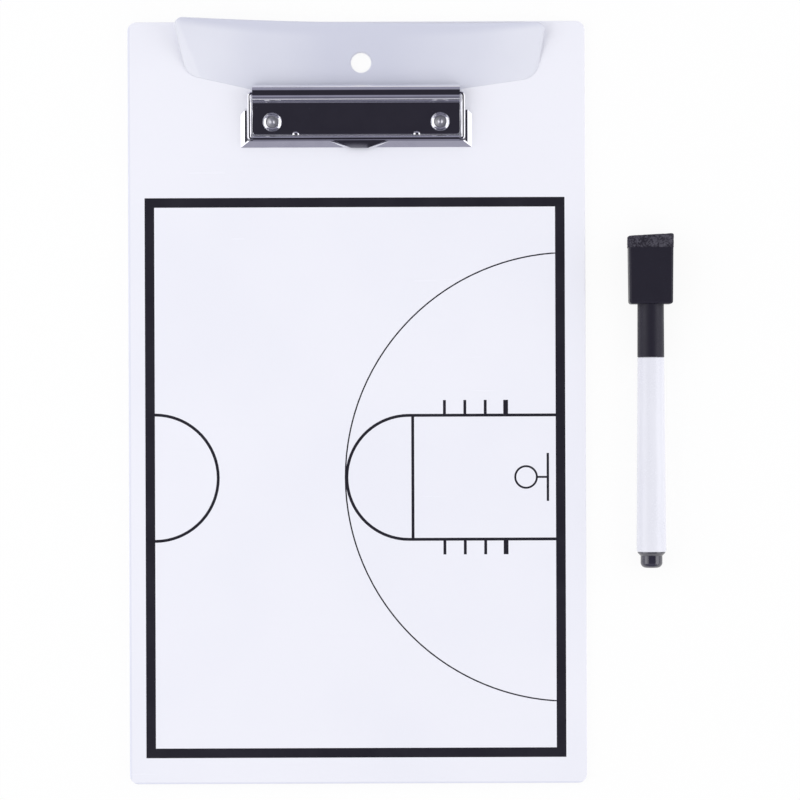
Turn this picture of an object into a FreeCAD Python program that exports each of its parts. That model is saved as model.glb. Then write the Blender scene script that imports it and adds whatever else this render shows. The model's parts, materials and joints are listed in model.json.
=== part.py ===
import FreeCAD, Part
import math
import os

# A coach's tactics board: a dry-wipe court board with a sprung paper clip, a frosted hanging flap and a
# capped marker that carries its own eraser. Millimetres. X runs across the board, Y runs up the board to
# its clip, Z comes out of the written face. The origin is the centre of the back face, and the board and
# the marker lie on the same table at Z = 0.

# The white board
board_width = 228.6
board_length = 381.0
board_thickness = 3.0
board_corner_radius = 4.5
board_edge_round = 0.4
hang_hole_radius = 5.0
hang_hole_from_top = 20.5
hang_hole_offset = 2.5

# The printed courts, whose ink fills shallow grooves flush with the faces
ink_depth = 0.12
court_width = 200.4
court_length = 270.4
print_offset = -1.0
print_foot_margin = 13.0
border_line = 4.8
main_line = 1.45
three_point_line = 0.7
three_point_radius = 112.2
three_point_setback = 7.0
lane_half_width = 31.0
free_throw_distance = 71.5
free_throw_arc_distance = 73.5
lane_block_distance = 25.0
lane_block_line = 2.4
lane_mark_spacing = 10.2
lane_mark_length = 7.6
lane_mark_count = 4
hoop_line = 1.0
hoop_radius = 5.4
hoop_distance = 14.9
backboard_line = 1.2
backboard_distance = 4.0
backboard_length = 24.0
centre_circle_radius = 31.6

# The frosted flap, clamped under the clip and curling up off the board behind it
flap_thickness = 0.5
flap_tongue_margin = 0.8
flap_tongue_reach = 18.55
flap_shoulder_rise = 2.05
flap_low_left = 85.0
flap_low_right = 90.0
flap_low_rise_left = 9.65
flap_low_rise_right = 7.55
flap_top_left = 91.2
flap_top_right = 95.2
flap_overhang_left = 1.3
flap_overhang_right = -1.0
flap_edge_sag = 0.9
flap_low_corner_radius = 9.0
flap_top_corner_radius = 4.0
flap_hole_margin = 0.3
flap_bend_gap = 0.6
flap_left_lift = 14.0
flap_middle_lift = 2.6
flap_right_lift = 6.0

# The clip's chromed base, whose rear edge is arched into a hinge knuckle with an ear at each end
clip_sheet = 0.9
hinge_from_top = 36.05
knuckle_radius = 4.3
knuckle_length = 103.5
knuckle_bend_radius = 0.4
base_side_margin = 0.45
base_notch_reach = 8.2
base_corner_radius = 2.0
base_edge_round = 0.5
dimple_spacing = 60.5
dimple_front_margin = 0.1
dimple_radius = 1.6
dimple_height = 0.6
pivot_clearance = 0.06

# The wire bail that swings in the ears and carries the jaw
bail_wire = 2.2
bail_end_gap = 0.25
bail_reach = 22.65
bail_bend_radius = 1.4
bail_stub_length = 14.0
tang_clearance = 0.05

# The two torsion springs round the bail's stubs
spring_wire = 0.7
spring_play = 0.5
spring_floor_gap = 0.3
spring_pitch = 1.25
spring_turns = 6
spring_leg = 1.7
spring_tang_inset = 0.8

# The jaw: a hem round the bail's front run, a sloping lip, two side ears and a thumb tab
jaw_sheet = 0.55
hem_clearance = 0.05
hem_base_gap = 0.35
hem_board_gap = 0.1
hem_end_gap = 0.4
hem_open_angle = 65.0
lip_reach = 26.85
lip_gap = 0.05
ear_run = 2.1
ear_rise = 1.45
ear_wire_gap = 0.2
ear_length = 18.5
ear_end_cut = 2.0
thumb_offset = 1.7
thumb_root_width = 30.0
thumb_tip_width = 8.6
thumb_reach = 4.6
thumb_fall_angle = 14.0
thumb_wall_run = 3.6

# The two semi-tubular rivets
rivet_spacing = 84.0
rivet_reach = 14.15
rivet_shank_radius = 2.0
rivet_head_radius = 4.75
rivet_rim_radius = 3.1
rivet_rim_height = 1.15
rivet_rim_bulge = 0.12
rivet_groove_radius = 2.8
rivet_groove_height = 0.5
rivet_dome_height = 1.0
rivet_tail_radius = 4.2
rivet_tail_height = 0.9
rivet_clearance = 0.1

# The marker: barrel, plug, ink store, nib holder and nib
marker_offset = 146.6
marker_front = 22.2
barrel_length = 97.1
barrel_front_radius = 6.65
barrel_tail_radius = 7.4
barrel_wall = 1.1
barrel_edge_round = 0.4
marker_fit = 0.05
plug_spigot_length = 9.0
plug_rim_radius = 6.9
plug_rim_length = 0.6
plug_cone_length = 1.4
plug_radius = 5.45
plug_length = 8.0
plug_end_radius = 3.2
plug_end_length = 3.0
holder_spigot_length = 10.0
holder_collar_radius = 5.25
holder_collar_length = 9.0
holder_nose_radius = 3.5
holder_nose_length = 7.0
store_radius = 5.3
store_end_gap = 0.3
nib_radius = 2.5
nib_reach = 5.5
nib_tip_radius = 1.1
nib_shoulder = 2.6
nib_socket_depth = 12.0

# The cap and the eraser that it carries
cap_radius = 6.6
cap_mouth_radius = 6.7
cap_length = 26.4
cap_clearance = 0.1
cap_end_wall = 2.0
cap_stud_radius = 4.5
cap_stud_length = 8.0
head_low_width = 21.6
head_top_width = 22.2
head_length = 28.2
head_thickness = 14.8
head_round = 1.4
felt_width = 23.1
felt_length = 6.4
felt_slope = 1.2
felt_round = 0.7

# One overrun lets every cut pass clear of the face that it goes through
overrun = 5.0

# Levels and places that follow from those sizes
board_top = board_thickness
flap_top = board_top + flap_thickness
base_top = flap_top + clip_sheet
board_head = board_length / 2
hinge_y = board_head - hinge_from_top
hem_radius = bail_wire / 2 + hem_clearance + jaw_sheet
hang_hole_y = board_head - hang_hole_from_top
rivet_y = hinge_y - rivet_reach
base_width = knuckle_length + 2 * base_side_margin
flap_tongue_half_width = base_width / 2 - flap_tongue_margin
bail_radius = bail_wire / 2
hem_y = hinge_y - bail_reach
hem_z = board_top + hem_board_gap + hem_radius
base_front = hem_y + hem_radius + hem_base_gap
bail_side = knuckle_length / 2 + bail_end_gap + bail_bend_radius
stub_end = knuckle_length / 2 - bail_stub_length
spring_radius = knuckle_radius - clip_sheet - spring_play - spring_wire / 2
hinge_z = flap_top + spring_floor_gap + spring_wire / 2 + spring_radius
tang_reach = bail_radius + tang_clearance
lip_foot = board_top + lip_gap
ear_foot = jaw_sheet * math.hypot(ear_run, ear_rise) / ear_rise
ear_half_width = bail_side + bail_radius + ear_wire_gap + ear_foot + ear_run
court_centre_y = -board_head + print_foot_margin + border_line + court_length / 2
marker_z = max(barrel_tail_radius, head_thickness / 2)
barrel_bore = barrel_front_radius - barrel_wall


def vec(x, y, z):
    return FreeCAD.Vector(x, y, z)


def loop(start, *steps):
    """A closed wire: a point makes a straight edge, a (via, end) pair makes an arc."""
    edges = []
    here = start
    for step in steps:
        if isinstance(step, tuple):
            via, there = step
            edges.append(Part.Arc(here, via, there).toShape())
        else:
            there = step
            edges.append(Part.makeLine(here, there))
        here = there
    edges.append(Part.makeLine(here, start))
    return Part.Wire(edges)


def prism(wire, direction):
    """The solid swept by a flat closed wire along a direction."""
    return Part.Face(wire).extrude(direction)


def block(low, high):
    """A box between two corners."""
    size = high - low
    return Part.makeBox(size.x, size.y, size.z, low)


def joined(shapes):
    """One shape from several that meet, with the seams between flush faces cleaned away."""
    first, *rest = shapes
    return first.multiFuse(rest).removeSplitter() if rest else first


def upright_edges(solid):
    """The edges of a solid that run straight along Z."""
    return [e for e in solid.Edges if abs(e.tangentAt(e.FirstParameter).z) > 0.999 and len(e.Vertexes) == 2]


def mirrored(shape):
    """The same shape on the other side of the board's middle line."""
    return shape.mirror(vec(0, 0, 0), vec(1, 0, 0))


# The board and its printed courts

def ink_strip(u_low, v_low, u_high, v_high):
    return block(vec(u_low, v_low, 0), vec(u_high, v_high, ink_depth))


def ink_ring(u, v, radius, line):
    outer = Part.makeCylinder(radius + line / 2, ink_depth, vec(u, v, 0))
    inner = Part.makeCylinder(radius - line / 2, ink_depth, vec(u, v, 0))
    return outer.cut(inner)


def court_end(share):
    """The lines at one end of a court, with the end line at u = 0, play along +u and v across.

    Distances are multiplied by share, and lines keep their own width.
    """
    half_lane = lane_half_width * share
    arc_u = free_throw_arc_distance * share
    throw_u = free_throw_distance * share
    three_radius = three_point_radius * share
    inside = ink_strip(0, -three_radius, three_radius, three_radius)
    lines = [ink_ring(-three_point_setback * share, 0, three_radius, three_point_line).common(inside)]
    reach = half_lane + main_line
    arc_side = ink_strip(arc_u, -reach, arc_u + reach, reach)
    lines.append(ink_ring(arc_u, 0, half_lane, main_line).common(arc_side))
    lines.append(ink_strip(throw_u - main_line / 2, -half_lane, throw_u + main_line / 2, half_lane))
    mark_end = half_lane + lane_mark_length * share
    for side in (-1, 1):
        v_low, v_high = sorted((side * (half_lane - main_line / 2), side * (half_lane + main_line / 2)))
        lines.append(ink_strip(0, v_low, arc_u, v_high))
        for i in range(lane_mark_count):
            u = (lane_block_distance + i * lane_mark_spacing) * share
            line = main_line if i else lane_block_line
            v_low, v_high = sorted((side * half_lane, side * mark_end))
            lines.append(ink_strip(u - line / 2, v_low, u + line / 2, v_high))
    hoop_u = hoop_distance * share
    board_u = backboard_distance * share
    half_board = backboard_length * share / 2
    stem_end = hoop_u - hoop_radius * share
    lines.append(ink_ring(hoop_u, 0, hoop_radius * share, hoop_line))
    lines.append(ink_strip(board_u, -hoop_line / 2, stem_end, hoop_line / 2))
    lines.append(ink_strip(board_u - backboard_line / 2, -half_board, board_u + backboard_line / 2, half_board))
    return lines


def court_border():
    outer = ink_strip(
        -court_width / 2 - border_line,
        -court_length / 2 - border_line,
        court_width / 2 + border_line,
        court_length / 2 + border_line,
    )
    return outer.cut(court_floor())


def court_floor():
    return ink_strip(-court_width / 2, -court_length / 2, court_width / 2, court_length / 2)


def placed(shape, turn, x, y, z):
    """A copy turned about Z and then moved."""
    copy = shape.copy()
    copy.Placement = FreeCAD.Placement(vec(x, y, z), FreeCAD.Rotation(vec(0, 0, 1), turn))
    return copy


def front_print():
    """The half court of the front: its end line is the right border, play runs to the left border."""
    lines = [placed(line, 180, court_width / 2, 0, 0) for line in court_end(1)]
    circle = ink_ring(-court_width / 2, 0, centre_circle_radius, main_line)
    lines.append(circle.common(court_floor()))
    ink = joined([court_border(), *lines])
    return placed(ink, 0, print_offset, court_centre_y, board_top - ink_depth)


def back_print():
    """The whole court of the back, with an end at the head and an end at the foot of the board."""
    share = court_width / court_length
    lines = []
    for turn, y in ((90, -court_length / 2), (-90, court_length / 2)):
        lines += [placed(line, turn, 0, y, 0) for line in court_end(share)]
    lines.append(ink_ring(0, 0, centre_circle_radius * share, main_line))
    lines.append(ink_strip(-court_width / 2, -main_line / 2, court_width / 2, main_line / 2))
    ink = joined([court_border(), *lines])
    return placed(ink, 0, -print_offset, court_centre_y, 0)


def rivet_places():
    return [vec(side * rivet_spacing / 2, rivet_y, 0) for side in (-1, 1)]


def board_panel(prints):
    corner = vec(-board_width / 2, -board_length / 2, 0)
    panel = block(corner, vec(board_width / 2, board_length / 2, board_thickness))
    panel = panel.makeFillet(board_corner_radius, upright_edges(panel))
    rims = [e for e in panel.Edges if e.BoundBox.ZLength < board_edge_round]
    panel = panel.makeFillet(board_edge_round, rims)
    holes = [Part.makeCylinder(hang_hole_radius, board_thickness, vec(hang_hole_offset, hang_hole_y, 0))]
    for place in rivet_places():
        holes.append(Part.makeCylinder(rivet_shank_radius + rivet_clearance, board_thickness, place))
        holes.append(Part.makeCylinder(rivet_tail_radius + rivet_clearance, rivet_tail_height, place))
    return panel.cut(holes + prints)


# The flap

def flap_section(x, lift):
    """The sheet's section at one place across: flat under the clip, then an arc that rises by lift."""
    front = hinge_y - flap_tongue_reach
    bend = hinge_y + knuckle_radius + flap_bend_gap
    run = board_head - bend
    radius = (run * run + lift * lift) / (2 * lift)
    turn = math.asin(run / radius) + overrun / radius

    def on_arc(r, angle):
        return vec(x, bend + r * math.sin(angle), board_top + radius - r * math.cos(angle))

    inner = radius - flap_thickness
    return loop(
        vec(x, front, board_top),
        vec(x, bend, board_top),
        (on_arc(radius, turn / 2), on_arc(radius, turn)),
        on_arc(inner, turn),
        (on_arc(inner, turn / 2), vec(x, bend, flap_top)),
        vec(x, front, flap_top),
    )


def flap_outline():
    """The flap's cut outline, standing as a tall prism: a tongue for the clip and a flared tab above it."""
    front = hinge_y - flap_tongue_reach
    shoulder = hinge_y + flap_shoulder_rise
    top_right = vec(flap_top_right, board_head + flap_overhang_right, 0)
    top_left = vec(-flap_top_left, board_head + flap_overhang_left, 0)
    edge_middle = (top_right + top_left) * 0.5 - vec(0, flap_edge_sag, 0)
    corners = (
        vec(flap_tongue_half_width, front, 0),
        vec(flap_tongue_half_width, shoulder, 0),
        vec(flap_low_right, hinge_y + flap_low_rise_right, 0),
        top_right,
        (edge_middle, top_left),
        vec(-flap_low_left, hinge_y + flap_low_rise_left, 0),
        vec(-flap_tongue_half_width, shoulder, 0),
        vec(-flap_tongue_half_width, front, 0),
    )
    height = board_top + flap_left_lift + flap_middle_lift + flap_right_lift + overrun
    solid = prism(loop(*corners), vec(0, 0, height))
    midway = (hinge_y + board_head) / 2
    low_corners = [e for e in upright_edges(solid) if shoulder + flap_thickness < e.Vertexes[0].Y < midway]
    solid = solid.makeFillet(flap_low_corner_radius, low_corners)
    top_corners = [e for e in upright_edges(solid) if e.Vertexes[0].Y > board_head - flap_top_corner_radius]
    return solid.makeFillet(flap_top_corner_radius, top_corners)


def hang_flap():
    reach = max(flap_top_left, flap_top_right) + overrun
    lifts = (flap_left_lift, flap_middle_lift, flap_right_lift)
    stations = (-reach, 0, reach)
    sections = [flap_section(x, lift) for x, lift in zip(stations, lifts)]
    sheet = Part.makeLoft(sections, True)
    flap = sheet.common(flap_outline())
    hole = hang_hole_radius + flap_hole_margin
    height = flap_left_lift + flap_middle_lift + flap_right_lift + board_thickness
    holes = [Part.makeCylinder(hole, height, vec(hang_hole_offset, hang_hole_y, 0))]
    for place in rivet_places():
        holes.append(Part.makeCylinder(rivet_shank_radius + rivet_clearance, height, place))
    return flap.cut(holes)


# The clip

def clip_base():
    """One bent sheet: a flat plate, an arched knuckle along its rear edge and an ear in each end of it."""
    inner = knuckle_radius - clip_sheet
    half = knuckle_length / 2
    bend_y = hinge_y - knuckle_radius - knuckle_bend_radius
    bend_z = base_top + knuckle_bend_radius
    slope = math.sqrt(0.5)

    def bend_point(radius):
        return vec(-half, bend_y + radius * slope, bend_z - radius * slope)

    section = loop(
        vec(-half, hinge_y + knuckle_radius, flap_top),
        vec(-half, hinge_y + knuckle_radius, hinge_z),
        (vec(-half, hinge_y, hinge_z + knuckle_radius), vec(-half, hinge_y - knuckle_radius, hinge_z)),
        vec(-half, hinge_y - knuckle_radius, bend_z),
        (bend_point(knuckle_bend_radius), vec(-half, bend_y, base_top)),
        vec(-half, base_front + base_corner_radius, base_top),
        vec(-half, base_front + base_corner_radius, flap_top),
        vec(-half, bend_y, flap_top),
        (bend_point(knuckle_bend_radius + clip_sheet), vec(-half, hinge_y - inner, bend_z)),
        vec(-half, hinge_y - inner, hinge_z),
        (vec(-half, hinge_y, hinge_z + inner), vec(-half, hinge_y + inner, hinge_z)),
        vec(-half, hinge_y + inner, flap_top),
    )
    bent = prism(section, vec(knuckle_length, 0, 0))
    notch = hinge_y - base_notch_reach
    plate = block(vec(-base_width / 2, base_front, flap_top), vec(base_width / 2, notch, base_top))
    front_corners = [e for e in upright_edges(plate) if e.Vertexes[0].Y < notch - base_corner_radius]
    plate = plate.makeFillet(base_corner_radius, front_corners)
    rear_of_round = base_front + base_corner_radius + base_edge_round
    top_rim = [e for e in plate.Edges if e.BoundBox.ZMin > base_top - base_edge_round]
    front_rim = [e for e in top_rim if e.BoundBox.YMax < rear_of_round]
    plate = plate.makeFillet(base_edge_round, front_rim)
    pieces = [bent, plate]
    pivot = Part.makeCylinder(
        bail_radius + pivot_clearance, knuckle_length, vec(-half, hinge_y, hinge_z), vec(1, 0, 0)
    )
    for x in (-half, half - clip_sheet):
        web = block(vec(x, hinge_y - inner, flap_top), vec(x + clip_sheet, hinge_y + inner, hinge_z))
        crown = Part.makeCylinder(inner, clip_sheet, vec(x, hinge_y, hinge_z), vec(1, 0, 0))
        pieces.append(web.fuse(crown).cut(pivot))
    ball = (dimple_radius ** 2 + dimple_height ** 2) / (2 * dimple_height)
    behind_front = block(
        vec(-base_width / 2, base_front, flap_top),
        vec(base_width / 2, notch, base_top + dimple_height + dimple_radius),
    )
    for side in (-1, 1):
        centre = vec(side * dimple_spacing / 2, base_front + dimple_front_margin, base_top + dimple_height - ball)
        pieces.append(Part.makeSphere(ball, centre).common(behind_front))
    holes = []
    for place in rivet_places():
        holes.append(Part.makeCylinder(rivet_shank_radius + rivet_clearance, base_top, place))
    return joined(pieces).cut(holes)


def tang_angle():
    """Where round the hinge axis the tang leaves the stub, so that it meets the coil at the rear."""
    bend = (spring_radius ** 2 - tang_reach ** 2) / (2 * spring_radius)
    return -math.atan2(bend, tang_reach)


def clip_bail():
    """A round wire bent into an open frame that slopes to its front run, with slots in its two stubs."""
    side = bail_side
    front_y = hinge_y - math.hypot(bail_reach, hinge_z - hem_z)
    bend = bail_bend_radius
    slope = bend * (1 - math.sqrt(0.5))
    right = [
        (vec(stub_end, hinge_y, hinge_z), vec(side - bend, hinge_y, hinge_z)),
        (vec(side, hinge_y - bend, hinge_z), vec(side, front_y + bend, hinge_z)),
    ]
    rear_via = vec(side - slope, hinge_y - slope, hinge_z)
    front_via = vec(side - slope, front_y + slope, hinge_z)
    front_end = vec(side - bend, front_y, hinge_z)
    half = [
        Part.makeLine(*right[0]),
        Part.Arc(right[0][1], rear_via, right[1][0]).toShape(),
        Part.makeLine(*right[1]),
        Part.Arc(right[1][1], front_via, front_end).toShape(),
        Part.makeLine(front_end, vec(0, front_y, hinge_z)),
    ]
    path = Part.Wire(half)
    start = right[0][0]
    section = Part.Wire(Part.Circle(start, vec(1, 0, 0), bail_radius).toShape())
    wire = path.makePipeShell([section], True, False)
    droop = math.degrees(math.atan2(hinge_z - hem_z, bail_reach))
    wire.rotate(vec(0, hinge_y, hinge_z), vec(1, 0, 0), droop)
    slot_half = spring_wire / 2 + tang_clearance
    slot = block(
        vec(stub_end - overrun, hinge_y - bail_wire, hinge_z - slot_half),
        vec(stub_end + spring_tang_inset + spring_wire, hinge_y + bail_wire, hinge_z + slot_half),
    )
    slot.rotate(vec(0, hinge_y, hinge_z), vec(1, 0, 0), math.degrees(tang_angle()))
    wire = wire.cut(slot)
    return joined([wire, mirrored(wire)])


def biarc(start, start_tangent, end, end_tangent):
    """Two arcs that leave start along its tangent and reach end along its tangent."""
    chord = end - start
    both = start_tangent + end_tangent
    spread = 2 * (1 - start_tangent.dot(end_tangent))
    along = chord.dot(both)
    arm = (math.sqrt(along * along + spread * chord.dot(chord)) - along) / spread
    first = start + start_tangent * arm
    second = end - end_tangent * arm
    middle = (first + second) * 0.5
    return [arc_by_corner(start, first, middle), arc_by_corner(middle, second, end)]


def arc_by_corner(start, corner, end):
    """The arc from start to end whose end tangents cross at corner."""
    middle = (start + end) * 0.5
    half_chord = start.distanceToPoint(middle)
    height = corner.distanceToPoint(middle)
    quarter = math.atan2(height, half_chord) / 2
    via = middle + (corner - middle) * (half_chord * math.tan(quarter) / height)
    return Part.Arc(start, via, end).toShape()


def spring_path():
    """The right spring's line: a tang across the stub, a hook, the turns and a straight leg."""
    tang_x = stub_end + spring_tang_inset
    lead = spring_pitch / (2 * math.pi)

    def out(angle):
        return vec(0, math.cos(angle), math.sin(angle))

    def on_coil(angle):
        return vec(tang_x + lead * angle, hinge_y, hinge_z) + out(angle) * spring_radius

    def along(angle):
        direction = vec(lead, 0, 0) + out(angle + math.pi / 2) * spring_radius
        return direction.normalize()

    centre = vec(tang_x, hinge_y, hinge_z)
    radial = out(tang_angle())
    tang_start = centre - radial * bail_radius
    tang_end = centre + radial * tang_reach
    edges = [Part.makeLine(tang_start, tang_end)]
    edges += biarc(tang_end, radial, on_coil(0), along(0))
    quarters = 4 * spring_turns
    for i in range(quarters):
        start = i * math.pi / 2
        end = start + math.pi / 2
        edges += biarc(on_coil(start), along(start), on_coil(end), along(end))
    last = quarters * math.pi / 2
    edges.append(Part.makeLine(on_coil(last), on_coil(last) + along(last) * spring_leg))
    return Part.Wire(edges), tang_start, radial


def torsion_spring():
    path, start, direction = spring_path()
    section = Part.Wire(Part.Circle(start, direction, spring_wire / 2).toShape())
    return path.makePipeShell([section], True, False)


def lip_lines():
    """The jaw's hem and lip in section, as places in (y, z): the lip is tangent to the hem."""
    tip = (hinge_y - lip_reach, lip_foot)
    dy = hem_y - tip[0]
    dz = hem_z - tip[1]
    slope = math.atan2(dz, dy) + math.asin(hem_radius / math.hypot(dy, dz))
    return tip, slope


def clip_jaw():
    """One bent sheet: a rolled hem, a lip that slopes to the board, mitred side ears and a thumb tab."""
    tip, slope = lip_lines()
    outer = hem_radius
    inner = hem_radius - jaw_sheet
    foot = jaw_sheet / math.sin(slope)
    top_angle = slope + math.pi / 2
    end_angle = top_angle - 2 * math.pi + math.radians(hem_open_angle)
    via_angle = (top_angle + end_angle) / 2

    def on_hem(x, radius, angle):
        return vec(x, hem_y + radius * math.cos(angle), hem_z + radius * math.sin(angle))

    half_hem = bail_side - bail_bend_radius - hem_end_gap
    section = loop(
        vec(-half_hem, tip[0], tip[1]),
        on_hem(-half_hem, outer, top_angle),
        (on_hem(-half_hem, outer, via_angle), on_hem(-half_hem, outer, end_angle)),
        on_hem(-half_hem, inner, end_angle),
        (on_hem(-half_hem, inner, via_angle), on_hem(-half_hem, inner, top_angle)),
        vec(-half_hem, tip[0] + foot, tip[1]),
    )
    hem = prism(section, vec(2 * half_hem, 0, 0))
    lip = prism(
        loop(
            vec(half_hem, tip[0], tip[1]),
            on_hem(half_hem, outer, top_angle),
            on_hem(half_hem, inner, top_angle),
            vec(half_hem, tip[0] + foot, tip[1]),
        ),
        vec(ear_half_width - half_hem, 0, 0),
    )
    rake = ear_run / ear_rise
    rear = tip[0] + ear_length
    ear = prism(
        loop(
            vec(ear_half_width, tip[0], tip[1]),
            vec(ear_half_width - ear_run, tip[0], tip[1] + ear_rise),
            vec(ear_half_width - ear_run - ear_foot, tip[0], tip[1] + ear_rise),
            vec(ear_half_width - ear_foot, tip[0], tip[1]),
        ),
        vec(0, ear_length, 0),
    )
    corner_cut = prism(
        loop(
            vec(ear_half_width - ear_run, rear, 0),
            vec(ear_half_width + overrun, rear - ear_end_cut - overrun * ear_end_cut / ear_run, 0),
            vec(ear_half_width + overrun, rear + overrun, 0),
            vec(ear_half_width - ear_run, rear + overrun, 0),
        ),
        vec(0, 0, hem_z + overrun),
    )
    ear = ear.cut(corner_cut)
    rise = hem_z + outer - tip[1]
    run = rise / math.tan(slope)
    shell = Part.makeLoft(
        [
            jaw_mould(ear_half_width, tip[0], rear, tip[1]),
            jaw_mould(ear_half_width - rake * rise, tip[0] + run, rear, tip[1] + rise),
        ],
        True,
        True,
    )
    corner = joined([lip, ear]).common(shell)
    window = prism(
        loop(
            vec(thumb_offset - thumb_tip_width / 2 - thumb_wall_run, tip[0] - overrun, tip[1]),
            vec(thumb_offset + thumb_tip_width / 2 + thumb_wall_run, tip[0] - overrun, tip[1]),
            vec(thumb_offset + thumb_root_width / 2, tip[0] - overrun, on_hem(0, outer, top_angle).z),
            vec(thumb_offset - thumb_root_width / 2, tip[0] - overrun, on_hem(0, outer, top_angle).z),
        ),
        vec(0, overrun + on_hem(0, inner, top_angle).y - tip[0], 0),
    )
    tab_z = hem_z + outer - jaw_sheet
    tab = prism(
        loop(
            vec(thumb_offset - thumb_root_width / 2, hem_y, tab_z),
            vec(thumb_offset - thumb_tip_width / 2, hem_y - thumb_reach, tab_z),
            vec(thumb_offset + thumb_tip_width / 2, hem_y - thumb_reach, tab_z),
            vec(thumb_offset + thumb_root_width / 2, hem_y, tab_z),
        ),
        vec(0, 0, jaw_sheet),
    )
    tab.rotate(vec(0, hem_y, tab_z), vec(1, 0, 0), thumb_fall_angle)
    bore = Part.makeCylinder(inner, 2 * bail_side, vec(-bail_side, hem_y, hem_z), vec(1, 0, 0))
    thumb_walls = [thumb_wall(side, tip, on_hem(0, outer, top_angle)).cut(bore) for side in (-1, 1)]
    front = joined([hem.cut(window), tab.cut(bore), *thumb_walls])
    return joined([front, corner, mirrored(corner)])


def thumb_wall(side, tip, crest):
    """The three-cornered wall on one side of the thumb tab, from the hem's crest to the tab's tip and the lip."""
    fall = math.radians(thumb_fall_angle)
    tab_z = hem_z + hem_radius - jaw_sheet
    root = vec(thumb_offset + side * thumb_root_width / 2, crest.y, crest.z)
    high = vec(
        thumb_offset + side * thumb_tip_width / 2,
        hem_y - thumb_reach * math.cos(fall),
        tab_z - thumb_reach * math.sin(fall),
    )
    low = vec(thumb_offset + side * (thumb_tip_width / 2 + thumb_wall_run), tip[0], tip[1])
    across = (high - root).cross(low - root)
    across.normalize()
    inward = across if across.x * side < 0 else across * -1
    wall = prism(loop(root, high, low), inward * jaw_sheet)
    reach = thumb_root_width + overrun
    over_board = block(vec(-reach, tip[0] - overrun, tip[1]), vec(reach, hem_y + overrun, hem_z + overrun))
    return wall.common(over_board)


def jaw_mould(half_width, front, rear, z):
    """One level of the tray-like shape that trims the lip and the ears to their mitres."""
    return loop(
        vec(-half_width, front, z), vec(half_width, front, z), vec(half_width, rear, z), vec(-half_width, rear, z)
    )


def clip_rivets():
    """Two rivets turned from one profile: a flush tail, a shank and a head with a sloping rim round a dome."""
    groove = base_top + rivet_groove_height
    rim_run = rivet_head_radius - rivet_rim_radius
    rim_slant = math.hypot(rim_run, rivet_rim_height)
    rim_via = vec(
        rivet_rim_radius + rim_run / 2 + rivet_rim_bulge * rivet_rim_height / rim_slant,
        0,
        base_top + rivet_rim_height / 2 + rivet_rim_bulge * rim_run / rim_slant,
    )
    rise = rivet_dome_height - rivet_groove_height
    ball = (rivet_groove_radius ** 2 + rise ** 2) / (2 * rise)
    half = math.asin(rivet_groove_radius / ball) / 2
    dome_via = vec(ball * math.sin(half), 0, groove + rise - ball * (1 - math.cos(half)))
    profile = loop(
        vec(0, 0, 0),
        vec(rivet_tail_radius, 0, 0),
        vec(rivet_tail_radius, 0, rivet_tail_height),
        vec(rivet_shank_radius, 0, rivet_tail_height),
        vec(rivet_shank_radius, 0, base_top),
        vec(rivet_head_radius, 0, base_top),
        (rim_via, vec(rivet_rim_radius, 0, base_top + rivet_rim_height)),
        vec(rivet_groove_radius, 0, groove),
        (dome_via, vec(0, 0, groove + rise)),
    )
    rivet = Part.Face(profile).revolve(vec(0, 0, 0), vec(0, 0, 1), 360)
    return Part.makeCompound([placed(rivet, 0, p.x, p.y, 0) for p in rivet_places()])


# The marker

def turned(*steps):
    """A piece turned about the marker's axis from a profile of (radius, distance along the axis) places."""
    profile = [vec(*p, 0) if not isinstance(p[0], tuple) else tuple(vec(*q, 0) for q in p) for p in steps]
    solid = Part.Face(loop(*profile)).revolve(vec(0, 0, 0), vec(0, 1, 0), 360)
    solid.translate(vec(marker_offset, marker_front, marker_z))
    return solid


def marker_barrel():
    return turned(
        (barrel_bore, 0),
        (barrel_front_radius - barrel_edge_round, 0),
        (barrel_front_radius, -barrel_edge_round),
        (barrel_tail_radius, -barrel_length + barrel_edge_round),
        (barrel_tail_radius - barrel_edge_round, -barrel_length),
        (barrel_bore, -barrel_length),
    )


def marker_tail_plug():
    spigot = barrel_bore - marker_fit
    rim = -barrel_length - plug_rim_length
    end = -barrel_length - plug_length
    round_start = end + plug_end_length
    slope = math.sqrt(0.5)
    via = (
        plug_end_radius + (plug_radius - plug_end_radius) * slope,
        round_start - plug_end_length * slope,
    )
    return turned(
        (0, -barrel_length + plug_spigot_length),
        (spigot, -barrel_length + plug_spigot_length),
        (spigot, -barrel_length),
        (plug_rim_radius, -barrel_length),
        (plug_rim_radius, rim),
        (plug_radius, rim - plug_cone_length),
        (plug_radius, round_start),
        (via, (plug_end_radius, end)),
        (0, end),
    )


def nib_holder():
    bore = nib_radius + marker_fit
    spigot = barrel_bore - marker_fit
    nose = holder_collar_length + holder_nose_length
    return turned(
        (bore, -holder_spigot_length),
        (spigot, -holder_spigot_length),
        (spigot, 0),
        (holder_collar_radius, 0),
        (holder_collar_radius, holder_collar_length),
        (holder_nose_radius, nose),
        (bore, nose),
    )


def store_front():
    return -holder_spigot_length - store_end_gap


def ink_store():
    bore = nib_radius + marker_fit
    front = store_front()
    rear = -barrel_length + plug_spigot_length + store_end_gap
    floor = front - nib_socket_depth
    return turned((0, rear), (store_radius, rear), (store_radius, front), (bore, front), (bore, floor), (0, floor))


def marker_nib():
    nose = holder_collar_length + holder_nose_length
    tip = nose + nib_reach
    shoulder = tip - nib_shoulder
    rear = store_front() - nib_socket_depth
    middle = (nib_tip_radius + nib_radius) / 2
    slope = math.sqrt(0.5)
    bulge = (nib_radius - nib_tip_radius) * slope
    via = (max(middle, nib_tip_radius + bulge), shoulder + nib_shoulder * slope)
    return turned(
        (0, rear), (nib_radius, rear), (nib_radius, shoulder), (via, (nib_tip_radius, tip)), (0, tip)
    )


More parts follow.
